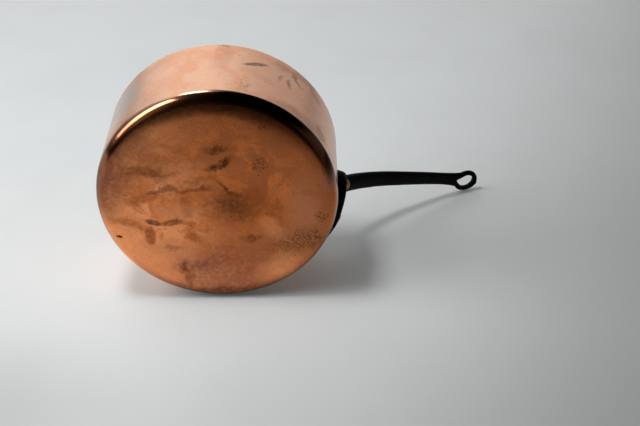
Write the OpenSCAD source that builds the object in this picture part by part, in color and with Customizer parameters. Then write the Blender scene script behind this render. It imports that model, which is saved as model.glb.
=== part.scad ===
// Round copper saucepan with a straight wall, a thin pale lining, and one long
// cast-iron handle held on by three copper rivets.
// Millimetres. The pan stands on its base: Z runs up the pan's axis from the
// middle of the base, and X runs along the handle.

/* [Pan] */
// Outside diameter of the wall
pan_d = 200; // [160:2:260]
// Height from the base to the rim
pan_h = 90; // [84:1:120]
// Outside radius of the corner between base and wall
corner_r = 9; // [6:0.5:14]
// Thickness of the copper sheet
copper_t = 2.2; // [1.5:0.1:3]
// Thickness of the lining inside the copper
lining_t = 0.4; // [0.3:0.1:0.8]

/* [Handle plate] */
// Thickness of the plate at its middle
plate_t = 7.8; // [6.8:0.2:10]
// Width of the plate across its two ears
plate_w = 74; // [68:1:82]
// Height of the plate's lower edge above the base
plate_low = 24; // [20:1:27]
// Height of the plate's upper edge above the base
plate_top = 87; // [80:1:90]
// Height of the two ears above the base
ear_z = 45; // [42:1:48]

/* [Handle shank] */
// Reach of the handle from the wall to its far end
reach = 159.3; // [140:1:190]
// Height of the shank's middle where it leaves the plate
root_z = 81; // [76:1:82]
// Height of the shank's middle at its far end
end_z = 176; // [150:1:200]
// Slope of the shank where it leaves the plate, in degrees
root_slope = 50; // [40:1:55]
// Slope of the shank along its middle, in degrees
mid_slope = 30; // [25:1:35]
// Slope of the shank at its far end, in degrees
end_slope = 12; // [8:1:18]
// Width of the shank at its root
shank_w = 17.5; // [14:0.5:20]
// Depth of the shank at its root
shank_h = 12; // [10:0.5:14]

/* [Hanging eye] */
// Outside radius of the round end
eye_r = 12; // [10:0.5:14]
// Radius of the round part of the hole
hole_r = 7.4; // [6:0.2:8]
// Distance from the middle of the hole to its pointed end
hole_point = 11.8; // [11:0.2:13]

/* [Rivets] */
// Radius of a rivet's shaft
rivet_r = 2.5; // [2:0.1:3]
// Radius of the domed outer head
head_r = 5.2; // [4.5:0.1:6]
// Height of the domed outer head
head_h = 3.8; // [3:0.1:4.5]
// Radius of the flat inner head
inner_head_r = 5.5; // [4.5:0.1:6.5]
// Height of the flat inner head
inner_head_h = 1.8; // [1.2:0.1:2.5]
// Angle of the upper rivets to each side of the handle, in degrees
rivet_az = 13.5; // [12:0.5:14.5]
// Height of the upper rivets above the base
high_rivet_z = 49; // [47:0.5:51]
// Height of the lower rivet above the base
low_rivet_z = 36; // [35:0.5:38]

/* [Hidden] */
$fn = 96;

pan_r = pan_d / 2;
lined_r = pan_r - copper_t - lining_t;

// The plate's outer face is a flatter cylinder than the pan, so the ears are a
// little thicker than the middle.
face_r = pan_r * 1.3;
face_x = pan_r + plate_t - face_r;

// Circles that carry the plate's outline: lower lobe, right ear, top, left ear.
ear_r = 16.3;
low_r = 24;
top_r = 13;
lobes = [
    [0, plate_low + low_r, low_r],
    [plate_w / 2 - ear_r, ear_z, ear_r],
    [0, plate_top - top_r, top_r],
    [ear_r - plate_w / 2, ear_z, ear_r],
];
arc_steps = 14;

// Cutting shapes start this far below the base and are this tall; a shaft runs
// this far past the wall's inside and the plate's face.
cut_below = 20;
cut_h = 260;
shaft_in = 2;
shaft_out = 3;

// Outer heads: depth of the flat spot each one sits in, its clearance, height of
// the head's straight edge, and radius of its dome.
seat_depth = 0.2;
seat_gap = 0.05;
head_edge = 0.4;
dome_h = head_h - head_edge;
dome_r = (head_r * head_r + dome_h * dome_h) / (2 * dome_h);

// Inner heads sink this far into the lining's curve.
inner_sink = 0.03;

// Shank: sections along two joined curves, each section a rounded oblong.
sections_per_curve = 16;
ring_n = 20;
oblong = 2.6;
root_x = pan_r + 4;
end_x = pan_r + reach;

// Where the two curves join, as shares of the reach and of the rise, and how far
// each curve runs along its end slopes before it bends away.
mid_share = [0.38, 0.503];
root_pull = 20;
mid_pull_in = 26.7;
mid_pull_out = 31.2;
end_pull = 25.9;
root = [root_x, root_z];
end = [end_x, end_z];
mid = [
    root_x + mid_share[0] * (end_x - root_x),
    root_z + mid_share[1] * (end_z - root_z),
];
curve_a = curve_points(root, root_slope, root_pull, mid, mid_slope, mid_pull_in);
curve_b = curve_points(mid, mid_slope, mid_pull_out, end, end_slope, end_pull);
eye_tilt = end_slope + 2;
eye_x = end_x - eye_r * cos(eye_tilt);
eye_z = end_z - eye_r * sin(eye_tilt);

// Share of the root's width, and of its depth, along the handle.
width_share = [
    [0, 1], [0.05, 0.975], [0.23, 0.945], [0.49, 0.84],
    [0.74, 0.75], [0.82, 0.8], [0.88, 0.95], [1, 0.95],
];
depth_share = [[0, 1], [0.13, 0.86], [0.3, 0.67], [0.62, 0.54], [0.88, 0.45], [1, 0.4]];

function polar(a, r) = [r * cos(a), r * sin(a)];

// Four control points of a curve from p to q with a slope and a pull at each end.
function curve_points(p, a, la, q, b, lb) = [p, p + polar(a, la), q - polar(b, lb), q];

function curve_at(c, u) =
    pow(1 - u, 3) * c[0] + 3 * pow(1 - u, 2) * u * c[1]
    + 3 * (1 - u) * u * u * c[2] + pow(u, 3) * c[3];

function curve_dir(c, u) =
    let (d = pow(1 - u, 2) * (c[1] - c[0]) + 2 * (1 - u) * u * (c[2] - c[1]) + u * u * (c[3] - c[2]))
    d / norm(d);

// Outside half width of the shank at x, widened to a circle round the eye.
function round_half(x) =
    let (d = (x - eye_x) / cos(eye_tilt))
    abs(d) < eye_r ? sqrt(eye_r * eye_r - d * d) : 0;

function half_width(x) =
    x > eye_x
    ? max(round_half(x), 0.4)
    : max(shank_w / 2 * lookup((x - root_x) / (end_x - root_x), width_share), round_half(x));

function half_depth(x) =
    shank_h / 2 * lookup((x - root_x) / (end_x - root_x), depth_share);

// One section: a rounded oblong across the shank at the point p, facing along d.
function section(p, d) =
    [for (i = [0 : ring_n - 1])
        let (
            a = 360 * i / ring_n,
            cy = sign(cos(a)) * pow(abs(cos(a)), 2 / oblong) * half_width(p[0]),
            cz = sign(sin(a)) * pow(abs(sin(a)), 2 / oblong) * half_depth(p[0])
        )
        [p[0] - d[1] * cz, cy, p[1] + d[0] * cz]
    ];

// Place along the second curve: closer together towards the round end.
function crowd(t) = sin(90 * t);

// Direction, seen from either middle, of the points where a line resting on the
// right-hand sides of two circles touches them.
function touch_angle(p, q) =
    atan2(q[1] - p[1], q[0] - p[0]) - acos((p[2] - q[2]) / norm([q[0] - p[0], q[1] - p[1]]));

// Angle a, brought to at least the angle b by whole turns.
function past(a, b) = a >= b ? a : past(a + 360, b);

// Full revolved shape of a straight cup: radius r, height h, corner radius c.
module cup(r, h, c) {
    rotate([0, 0, 180]) rotate_extrude() {
        square([r - c, h]);
        translate([0, c]) square([r, h - c]);
        intersection() {
            translate([r - c, c]) circle(c);
            square([r + 1, c + 1]);
        }
    }
}

// Everything at or inside radius r.
module core(r) {
    translate([0, 0, -cut_below]) rotate([0, 0, 180]) cylinder(r = r, h = cut_h);
}

// The shafts of all three rivets, for the holes they pass through.
module rivet_holes() {
    at_rivet(0, low_rivet_z) shaft();
    at_rivet(rivet_az, high_rivet_z) shaft();
    at_rivet(-rivet_az, high_rivet_z) shaft();
}

// Puts a rivet on the wall: its axis runs out along the pan's radius.
module at_rivet(az, z) {
    rotate([0, 0, az]) translate([0, 0, z]) rotate([0, 90, 0]) children();
}

module shaft() {
    translate([0, 0, lined_r - shaft_in])
    cylinder(r = rivet_r, h = shaft_in + lining_t + copper_t + plate_t + shaft_out);
}

// Distance from the pan's axis to the plate's outer face, at an angle az.
function face_at(az) = face_x * cos(az) + sqrt(face_r * face_r - pow(face_x * sin(az), 2));

// Flat spot cut in the plate's curved face, where an outer head sits.
module head_seat(az, z) {
    at_rivet(az, z) translate([0, 0, face_at(az) - seat_depth])
    cylinder(r = head_r + seat_gap, h = 12);
}

module copper_pan() {
    color([0.80, 0.47, 0.30])
    difference() {
        cup(pan_r, pan_h, corner_r);
        translate([0, 0, copper_t]) cup(pan_r - copper_t, pan_h, corner_r - copper_t);
        rivet_holes();
    }
}

module lining() {
    color([0.78, 0.77, 0.74])
    difference() {
        translate([0, 0, copper_t]) cup(pan_r - copper_t, pan_h - copper_t, corner_r - copper_t);
        translate([0, 0, copper_t + lining_t]) cup(lined_r, pan_h, corner_r - copper_t - lining_t);
        rivet_holes();
    }
}

// The plate's outline: arcs of the four circles, joined by the lines that touch
// two neighbours.
module plate_outline() {
    polygon([for (i = [0 : 3])
        let (
            p = lobes[i],
            from = touch_angle(lobes[(i + 3) % 4], p),
            to = past(touch_angle(p, lobes[(i + 1) % 4]), from)
        )
        for (k = [0 : arc_steps])
            [p[0], p[1]] + polar(from + (to - from) * k / arc_steps, p[2])
    ]);
}

// Plate bent round the wall.
module plate() {
    intersection() {
        rotate([90, 0, 90]) linear_extrude(pan_r + plate_t + 10) plate_outline();
        translate([face_x, 0, -cut_below]) rotate([0, 0, 180])
        cylinder(r = face_r, h = cut_h);
    }
}

// Long shank, from inside the plate to its round end.
module shank() {
    rings = concat(
        [for (i = [0 : sections_per_curve - 1])
            let (u = i / sections_per_curve)
            section(curve_at(curve_a, u), curve_dir(curve_a, u))],
        [for (i = [0 : 2 * sections_per_curve])
            let (u = crowd(i / (2 * sections_per_curve)))
            section(curve_at(curve_b, u), curve_dir(curve_b, u))]
    );
    last = len(rings) - 1;
    polyhedron(
        points = [for (r = rings) each r],
        faces = concat(
            [for (j = [0 : last - 1], i = [0 : ring_n - 1])
                let (k = (i + 1) % ring_n)
                each [
                    [j * ring_n + i, (j + 1) * ring_n + k, j * ring_n + k],
                    [j * ring_n + i, (j + 1) * ring_n + i, (j + 1) * ring_n + k],
                ]],
            [[for (i = [0 : ring_n - 1]) i]],
            [[for (i = [ring_n - 1 : -1 : 0]) last * ring_n + i]]
        )
    );
}

// Teardrop hole, pointed towards the pan.
module eye_hole() {
    side = acos(hole_r / hole_point);
    translate([eye_x, 0, eye_z]) rotate([0, -eye_tilt, 0])
    linear_extrude(30, center = true) {
        circle(hole_r);
        polygon([
            [-hole_point, 0],
            [-hole_r * cos(side), -hole_r * sin(side)],
            [0, 0],
            [-hole_r * cos(side), hole_r * sin(side)],
        ]);
    }
}

module handle() {
    color([0.09, 0.09, 0.09])
    difference() {
        union() {
            plate();
            shank();
        }
        core(pan_r);
        eye_hole();
        rivet_holes();
        head_seat(0, low_rivet_z);
        head_seat(rivet_az, high_rivet_z);
        head_seat(-rivet_az, high_rivet_z);
    }
}

// A rivet: domed head outside, shaft through plate and wall, flat head inside.
module rivet(az, z) {
    seat = face_at(az) - seat_depth;
    inner_seat = sqrt(lined_r * lined_r - inner_head_r * inner_head_r) - inner_sink;
    color([0.76, 0.45, 0.29])
    at_rivet(az, z) rotate_extrude() {
        translate([0, inner_seat - 1]) square([rivet_r, seat - inner_seat + 2]);
        translate([0, inner_seat - inner_head_h]) square([inner_head_r, inner_head_h]);
        translate([0, seat]) square([head_r, 0.6]);
        intersection() {
            translate([0, seat + seat_depth + head_h - dome_r]) circle(dome_r);
            translate([0, seat + 0.5]) square([head_r, head_h]);
        }
    }
}

module rivet_low() {
    rivet(0, low_rivet_z);
}

module rivet_left() {
    rivet(rivet_az, high_rivet_z);
}

module rivet_right() {
    rivet(-rivet_az, high_rivet_z);
}

copper_pan();
lining();
handle();
rivet_low();
rivet_left();
rivet_right();
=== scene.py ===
import logging
import math
from dataclasses import dataclass
from enum import Enum
from typing import Sequence, Union

import bmesh
import bpy
import numpy as np
from mathutils import Matrix, Vector


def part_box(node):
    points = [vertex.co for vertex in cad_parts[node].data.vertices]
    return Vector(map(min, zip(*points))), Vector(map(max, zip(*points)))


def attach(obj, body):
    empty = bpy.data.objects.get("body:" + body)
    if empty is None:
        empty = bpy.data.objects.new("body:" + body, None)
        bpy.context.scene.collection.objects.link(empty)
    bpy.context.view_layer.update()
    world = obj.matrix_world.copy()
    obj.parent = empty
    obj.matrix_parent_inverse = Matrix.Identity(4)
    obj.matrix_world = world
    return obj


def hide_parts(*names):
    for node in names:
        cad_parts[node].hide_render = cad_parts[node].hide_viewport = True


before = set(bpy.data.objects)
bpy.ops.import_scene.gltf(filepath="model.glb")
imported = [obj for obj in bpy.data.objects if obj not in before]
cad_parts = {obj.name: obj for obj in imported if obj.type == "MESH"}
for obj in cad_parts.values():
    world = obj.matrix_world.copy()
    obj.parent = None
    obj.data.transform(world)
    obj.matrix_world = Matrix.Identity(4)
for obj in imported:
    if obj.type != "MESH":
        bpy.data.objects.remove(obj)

log = logging.getLogger("saucepan")

MM = 0.001
TURN = 2.0 * math.pi

# Points closer than WELD are merged, and edges shorter than SLIVER are dropped, in metres.
WELD = 2e-6
SLIVER = 1e-7

# The eye's end stops this far short of the handle's box, in metres.
END_GAP = 0.5 * MM

Colour = tuple[float, float, float]
Place = tuple[float, float, float]
Socket = bpy.types.NodeSocket


# --------------------------------------------------------------------------
# The pan lies on its side for the camera
# --------------------------------------------------------------------------

@dataclass(frozen=True)
class Lying:
    """Directions round the pan as it lies on its side, on its wall and its handle's end.

    The row's frame stands the pan upright. Lying down, the pan's axis points level away
    from the camera, and the handle points right and a little down to the floor.
    """

    handle_drop: float = math.radians(20.7)

    @property
    def right(self) -> np.ndarray:
        """Level, to the camera's right."""
        return np.array([math.cos(self.handle_drop), -math.sin(self.handle_drop), 0.0])

    @property
    def up(self) -> np.ndarray:
        """Straight up from the floor that the pan lies on."""
        return np.array([-math.sin(self.handle_drop), -math.cos(self.handle_drop), 0.0])

    @property
    def away(self) -> np.ndarray:
        """Level, from the base towards the rim."""
        return np.array([0.0, 0.0, 1.0])

    def place(self, right: float, up: float, away: float) -> np.ndarray:
        """Turn a place given along the lying directions into the row's frame.

        Args:
            right: Distance to the right of the pan's axis, in metres.
            up: Height above the pan's axis, in metres.
            away: Distance beyond the base, in metres.

        Returns:
            The place in the row's frame.
        """
        return right * self.right + up * self.up + away * self.away


LYING = Lying()


# --------------------------------------------------------------------------
# Meshes from numpy grids
# --------------------------------------------------------------------------

def grid_quads(rows: int, cols: int, wrap_rows: bool = False, wrap_cols: bool = False) -> np.ndarray:
    """Corner numbers of the quads between neighbouring rows and columns of a grid.

    Args:
        rows: Number of rows of points.
        cols: Number of columns of points.
        wrap_rows: Join the last row to the first.
        wrap_cols: Join the last column to the first.

    Returns:
        An array of shape (quads, 4).
    """
    row = np.arange(rows if wrap_rows else rows - 1)[:, None]
    col = np.arange(cols if wrap_cols else cols - 1)[None, :]
    next_row = (row + 1) % rows
    next_col = (col + 1) % cols
    corners = (
        row * cols + col, row * cols + next_col,
        next_row * cols + next_col, next_row * cols + col)
    return np.stack(np.broadcast_arrays(*corners), axis=-1).reshape(-1, 4)


def mesh_from_arrays(name: str, points: np.ndarray, quads: np.ndarray) -> bpy.types.Mesh:
    """Make a mesh from arrays, weld its poles and seams, and turn its faces outwards.

    Args:
        name: Name of the mesh.
        points: Vertex places, any shape that ends in 3.
        quads: Corner numbers, shape (quads, 4).

    Returns:
        The finished mesh, shaded smooth.
    """
    mesh = bpy.data.meshes.new(name)
    mesh.vertices.add(points.size // 3)
    mesh.vertices.foreach_set("co", points.astype(np.float32).ravel())
    mesh.loops.add(quads.size)
    mesh.loops.foreach_set("vertex_index", quads.astype(np.int32).ravel())
    mesh.polygons.add(len(quads))
    mesh.polygons.foreach_set("loop_start", np.arange(0, quads.size, 4, dtype=np.int32))
    mesh.update(calc_edges=True)
    weld_and_orient(mesh)
    return mesh


def closed_mesh(name: str, rings: np.ndarray) -> bpy.types.Mesh:
    """Join rings of points, shape (rings, points, 3), into one closed mesh."""
    return mesh_from_arrays(name, rings, grid_quads(len(rings), rings.shape[1], wrap_cols=True))


def weld_and_orient(mesh: bpy.types.Mesh) -> None:
    """Merge points that coincide, drop collapsed faces, and point every face outwards.

    Args:
        mesh: The mesh to tidy in place.
    """
    work = bmesh.new()
    work.from_mesh(mesh)
    bmesh.ops.remove_doubles(work, verts=work.verts, dist=WELD)
    bmesh.ops.dissolve_degenerate(work, edges=work.edges, dist=SLIVER)
    bmesh.ops.recalc_face_normals(work, faces=work.faces)
    work.to_mesh(mesh)
    work.free()
    mesh.polygons.foreach_set("use_smooth", np.ones(len(mesh.polygons), dtype=bool))
    mesh.update()


def new_piece(name: str, mesh: bpy.types.Mesh, *finishes: bpy.types.Material) -> bpy.types.Object:
    """Put a mesh into the scene as a finished piece at the origin.

    Args:
        name: Name of the piece.
        mesh: Its mesh, already in place.
        finishes: Its materials.

    Returns:
        The new object.
    """
    piece = bpy.data.objects.new(name, mesh)
    bpy.context.scene.collection.objects.link(piece)
    for finish in finishes:
        mesh.materials.append(finish)
    return piece


def revolve(profile: np.ndarray, steps: int) -> tuple[np.ndarray, np.ndarray]:
    """Turn a profile of (radius, height) once round the Z axis.

    A point at angle a is (radius * cos a, radius * sin a, height).

    Args:
        profile: Points of the profile, shape (n, 2).
        steps: Number of steps round.

    Returns:
        Points of shape (n, steps, 3), and the quads between them.
    """
    angle = np.linspace(0.0, TURN, steps, endpoint=False)
    radius = profile[:, :1]
    points = np.stack(
        [radius * np.cos(angle), radius * np.sin(angle), profile[:, 1:] + 0.0 * angle], axis=-1)
    return points, grid_quads(len(profile), steps, wrap_cols=True)


def arc(centre: Sequence[float], radius: float, start: float, end: float, steps: int) -> np.ndarray:
    """Points on a circle in a profile's plane.

    Args:
        centre: Middle of the circle.
        radius: Its radius.
        start: First angle, in degrees.
        end: Last angle, in degrees.
        steps: Number of points.

    Returns:
        Points of shape (steps, 2).
    """
    angle = np.radians(np.linspace(start, end, steps))
    return np.stack([centre[0] + radius * np.cos(angle), centre[1] + radius * np.sin(angle)], axis=-1)


def line(start: Sequence[float], end: Sequence[float], steps: int) -> np.ndarray:
    """Evenly spaced points from start to end, both included."""
    share = np.linspace(0.0, 1.0, steps)[:, None]
    return (1.0 - share) * np.asarray(start, dtype=float) + share * np.asarray(end, dtype=float)


# --------------------------------------------------------------------------
# Shader maths
# --------------------------------------------------------------------------

class Num:
    """A shader socket that carries a number; arithmetic on it adds Math nodes."""

    def __init__(self, recipe: "Recipe", socket: Socket) -> None:
        """Keep the recipe that the socket belongs to."""
        self.recipe = recipe
        self.socket = socket

    def _math(self, operation: str, first: "Amount", second: "Amount") -> "Num":
        """Add one Math node on two amounts."""
        made = self.recipe.node("ShaderNodeMath", {"operation": operation}, {0: first, 1: second})
        return Num(self.recipe, made.outputs[0])

    def __add__(self, other: "Amount") -> "Num":
        """Sum."""
        return self._math("ADD", self, other)

    __radd__ = __add__

    def __sub__(self, other: "Amount") -> "Num":
        """Difference."""
        return self._math("SUBTRACT", self, other)

    def __rsub__(self, other: "Amount") -> "Num":
        """Difference the other way round."""
        return self._math("SUBTRACT", other, self)

    def __mul__(self, other: "Amount") -> "Num":
        """Product."""
        return self._math("MULTIPLY", self, other)

    __rmul__ = __mul__

    def __truediv__(self, other: "Amount") -> "Num":
        """Quotient."""
        return self._math("DIVIDE", self, other)

    def higher(self, other: "Amount") -> "Num":
        """The larger of two amounts."""
        return self._math("MAXIMUM", self, other)

    def fade(self, low: float, high: float) -> "Num":
        """Smooth step: 0 at low, 1 at high, and level beyond them.

        Args:
            low: The amount that gives 0.
            high: The amount that gives 1; it may be below low.

        Returns:
            A number from 0 to 1.
        """
        values = {"Value": self, "From Min": low, "From Max": high, "To Min": 0.0, "To Max": 1.0}
        if high < low:
            values.update({"From Min": high, "From Max": low, "To Min": 1.0, "To Max": 0.0})
        made = self.recipe.node("ShaderNodeMapRange", {"interpolation_type": "SMOOTHSTEP"}, values)
        return Num(self.recipe, made.outputs["Result"])


Amount = Union[Num, float]
Link = Union[Num, Socket, float, Sequence[float]]


class Coords(Enum):
    """What a pattern's coordinates measure."""

    PIECE = "Object"
    DIRECTION = "Generated"


class Recipe:
    """One material, or the room round the pan, while its nodes are being put together."""

    def __init__(
        self,
        owner: Union[bpy.types.Material, bpy.types.World],
        coords: Coords = Coords.PIECE,
    ) -> None:
        """Clear the owner's nodes.

        Args:
            owner: The material or world.
            coords: What its patterns are measured in.
        """
        self.owner = owner
        owner.use_nodes = True
        self.tree = owner.node_tree
        self.tree.nodes.clear()
        self.coords = self.node("ShaderNodeTexCoord").outputs[coords.value]

    @classmethod
    def material(cls, name: str) -> "Recipe":
        """Start an empty material of the given name."""
        return cls(bpy.data.materials.new(name))

    def node(
        self,
        kind: str,
        settings: dict[str, object] | None = None,
        values: dict[str | int, Link] | None = None,
    ) -> bpy.types.Node:
        """Add one node: its settings first, then the values and links of its sockets.

        Args:
            kind: Type of the node.
            settings: Properties of the node.
            values: Value or link of each named or numbered input.

        Returns:
            The new node.
        """
        made = self.tree.nodes.new(kind)
        for key, setting in (settings or {}).items():
            setattr(made, key, setting)
        for key, value in (values or {}).items():
            self.feed(made.inputs[key], value)
        return made

    def feed(self, socket: Socket, value: Link) -> None:
        """Link an input to a value that varies, or set it to a constant one.

        Args:
            socket: The input.
            value: A number, a colour of three or four parts, a vector or a link.
        """
        if isinstance(value, Num):
            self.tree.links.new(value.socket, socket)
        elif isinstance(value, Socket):
            self.tree.links.new(value, socket)
        elif isinstance(value, (int, float)):
            socket.default_value = value
        else:
            padded = (*value, 1.0) if socket.type == "RGBA" and len(value) == 3 else tuple(value)
            socket.default_value = padded

    def mix(self, share: Amount, first: Link, second: Link) -> Socket:
        """Blend two colours.

        Args:
            share: How much of the second colour shows.
            first: Colour or link.
            second: Colour or link.

        Returns:
            The mixed colour's socket.
        """
        made = self.node("ShaderNodeMix", {"data_type": "RGBA"})
        colour_a = next(s for s in made.inputs if s.name == "A" and s.type == "RGBA")
        colour_b = next(s for s in made.inputs if s.name == "B" and s.type == "RGBA")
        for socket, value in ((made.inputs[0], share), (colour_a, first), (colour_b, second)):
            self.feed(socket, value)
        return next(s for s in made.outputs if s.type == "RGBA")

    def vector(self, operation: str, values: dict[str | int, Link]) -> bpy.types.Node:
        """Add one Vector Math node."""
        return self.node("ShaderNodeVectorMath", {"operation": operation}, values)

    def shift(self, coords: Socket, offset: Socket, amount: float) -> Socket:
        """Move coordinates by a noise colour, centred on zero.

        Args:
            coords: Coordinates to move.
            offset: A noise colour, about 0.5 on average.
            amount: Distance moved for a colour change of 1, in metres.

        Returns:
            The moved coordinates.
        """
        centred = self.vector("SUBTRACT", {0: offset, 1: (0.5, 0.5, 0.5)}).outputs[0]
        scaled = self.vector("SCALE", {0: centred, "Scale": amount}).outputs[0]
        return self.vector("ADD", {0: coords, 1: scaled}).outputs[0]

    def flattened(self, coords: Socket) -> Socket:
        """Coordinates with their height left out."""
        return self.vector("MULTIPLY", {0: coords, 1: (1.0, 1.0, 0.0)}).outputs[0]

    def turned(
        self,
        coords: Socket,
        place: Sequence[float],
        axes: np.ndarray,
        sizes: Sequence[float],
    ) -> Socket:
        """Coordinates in a local frame: 0 at place, and 1 at each size along each axis.

        Args:
            coords: Coordinates in the row's frame.
            place: Origin of the local frame.
            axes: Its three unit axes, as rows.
            sizes: The length of each axis, in metres.

        Returns:
            The local coordinates.
        """
        turn = Matrix(np.asarray(axes).T.tolist()).to_euler("XYZ")
        made = self.node(
            "ShaderNodeMapping", {"vector_type": "TEXTURE"},
            {"Vector": coords, "Location": tuple(place), "Rotation": tuple(turn), "Scale": tuple(sizes)})
        return made.outputs["Vector"]

    def noise(
        self,
        coords: Socket,
        size: float,
        detail: float = 3.0,
        roughness: float = 0.5,
        distortion: float = 0.0,
    ) -> bpy.types.Node:
        """Add a Noise Texture whose features are about the given size.

        Args:
            coords: Coordinates, in metres.
            size: Size of a feature, in metres.
            detail: Number of finer layers.
            roughness: Strength of the finer layers.
            distortion: How far the pattern is bent.

        Returns:
            The noise node, with outputs Fac and Color.
        """
        return self.node(
            "ShaderNodeTexNoise", {},
            {"Vector": coords, "Scale": 1.0 / size, "Detail": detail, "Roughness": roughness,
             "Distortion": distortion})

    def noise_num(self, coords: Socket, size: float, **shape: float) -> Num:
        """The number output of a noise; see noise."""
        return Num(self, self.noise(coords, size, **shape).outputs[0])

    def axis(self, coords: Socket, name: str) -> Num:
        """One coordinate, X, Y or Z, as a number."""
        return Num(self, self.node("ShaderNodeSeparateXYZ", {}, {0: coords}).outputs[name])

    def along(self, direction: np.ndarray, coords: Socket | None = None) -> Num:
        """How far the coordinates lie along a direction.

        Args:
            direction: The unit direction.
            coords: Coordinates, or None for the plain ones.

        Returns:
            The distance, negative on the far side of the origin.
        """
        made = self.vector("DOT_PRODUCT", {0: coords or self.coords, 1: tuple(direction)})
        return Num(self, made.outputs["Value"])

    def reach(self, coords: Socket) -> Num:
        """Distance of the coordinates from their own zero."""
        return Num(self, self.vector("LENGTH", {0: coords}).outputs["Value"])

    def bump(self, height: Num, depth: float, below: Socket | None = None) -> Socket:
        """Turn a height from 0 to 1 into a normal.

        Args:
            height: The height.
            depth: Its real depth, in metres.
            below: Normal of a coarser bump underneath.

        Returns:
            The normal's socket.
        """
        values: dict[str | int, Link] = {"Height": height, "Distance": depth, "Strength": 1.0}
        if below is not None:
            values["Normal"] = below
        return self.node("ShaderNodeBump", {}, values).outputs["Normal"]

    def finish(self, **sockets: Link) -> bpy.types.Material:
        """Add the shader and the output.

        Args:
            sockets: Value or link of each Principled input, with _ for a space.

        Returns:
            The finished material.
        """
        values = {key.replace("_", " "): value for key, value in sockets.items()}
        shader = self.node("ShaderNodeBsdfPrincipled", {}, values)
        self.node("ShaderNodeOutputMaterial", {}, {"Surface": shader.outputs[0]})
        return self.owner


# --------------------------------------------------------------------------
# Stains, and painted reflection and shade on the copper
# --------------------------------------------------------------------------

class Side(Enum):
    """The face of the pan that a stain lies on."""

    BASE = "base"
    WALL = "wall"


class Edge(Enum):
    """How a stain ends."""

    CLEAN = "clean"
    RAGGED = "ragged"
    SPECKLED = "speckled"


@dataclass(frozen=True)
class Grounds:
    """Patterns that all the stains of one material share.

    calm and ragged are coordinates moved a little and a lot; broken and speckles are masks
    that multiply a stain's own.
    """

    calm: Socket
    ragged: Socket
    broken: Num
    speckles: Num


# How far a stain's ellipse reaches into and out of the surface, in millimetres.
STAIN_DEPTH = 16.0


@dataclass(frozen=True)
class StainOrShade:
    """One soft mark on the copper, an ellipse with a ragged edge: most are stains, some are painted
    reflection or painted shade.

    On the base, across and along are millimetres right of and above its middle as the pan
    lies. On the wall, across is the angle to the right of the top, in degrees, and along is
    the height above the base in millimetres.
    """

    side: Side
    across: float
    along: float
    length: float
    width: float
    colour: Colour
    strength: float
    turn: float = 0.0
    soft: float = 0.6
    edge: Edge = Edge.RAGGED

    def local(self, pan_radius: float) -> tuple[np.ndarray, np.ndarray, Place]:
        """Work out where the stain lies.

        Args:
            pan_radius: Outside radius of the wall, in metres.

        Returns:
            Its middle, its axes (long, short, out of the surface) and its half sizes.
        """
        turn = math.radians(self.turn)
        if self.side is Side.BASE:
            middle = LYING.place(self.across * MM, self.along * MM, 0.0)
            first, second = LYING.right, LYING.up
        else:
            angle = math.radians(self.across)
            outward = math.sin(angle) * LYING.right + math.cos(angle) * LYING.up
            middle = pan_radius * outward + self.along * MM * LYING.away
            first = math.cos(angle) * LYING.right - math.sin(angle) * LYING.up
            second = LYING.away
        long_axis = math.cos(turn) * first + math.sin(turn) * second
        short_axis = -math.sin(turn) * first + math.cos(turn) * second
        axes = np.array([long_axis, short_axis, np.cross(long_axis, short_axis)])
        return middle, axes, (self.length * MM / 2, self.width * MM / 2, STAIN_DEPTH * MM)

    def mask(self, mat: Recipe, grounds: Grounds, pan_radius: float) -> Num:
        """Add the nodes of the stain's mask.

        A ball of the Gradient Texture falls from 1 at the stain's middle to 0 at its outer
        edge, which lies beyond its half sizes by the share soft; a smooth step of that
        makes the stain full inside and soft at its edge.

        Args:
            mat: The material.
            grounds: The shared patterns.
            pan_radius: Outside radius of the wall, in metres.

        Returns:
            A number: 0 outside the stain, its strength inside.
        """
        middle, axes, sizes = self.local(pan_radius)
        coords = grounds.calm if self.edge is Edge.CLEAN else grounds.ragged
        outer = 1.0 + self.soft
        local = mat.turned(coords, middle, axes, outer * np.array(sizes))
        ball = mat.node("ShaderNodeTexGradient", {"gradient_type": "SPHERICAL"}, {"Vector": local})
        inside = Num(mat, ball.outputs["Fac"]).fade(0.0, 2.0 * self.soft / outer) * self.strength
        return inside * (grounds.speckles if self.edge is Edge.SPECKLED else grounds.broken)


# Stain colours, from the darkest to the freshest metal, then two greys that paint the reflection of the
# pale room on the wall. SOOT and UMBER also paint dark reflection and shade along the corner and the top
# of the base.
SOOT: Colour = (0.018, 0.008, 0.005)
UMBER: Colour = (0.120, 0.036, 0.012)
PLUM: Colour = (0.150, 0.050, 0.036)
RUST: Colour = (0.330, 0.082, 0.018)
MAUVE: Colour = (0.260, 0.088, 0.058)
OLIVE: Colour = (0.035, 0.030, 0.018)
PINK: Colour = (0.780, 0.285, 0.125)
GLOW: Colour = (0.900, 0.340, 0.135)
DUSK: Colour = (0.560, 0.220, 0.108)
PAINTED_PALE_REFLECTION: Colour = (0.780, 0.800, 0.770)
PAINTED_DIM_REFLECTION: Colour = (0.400, 0.425, 0.405)

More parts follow.
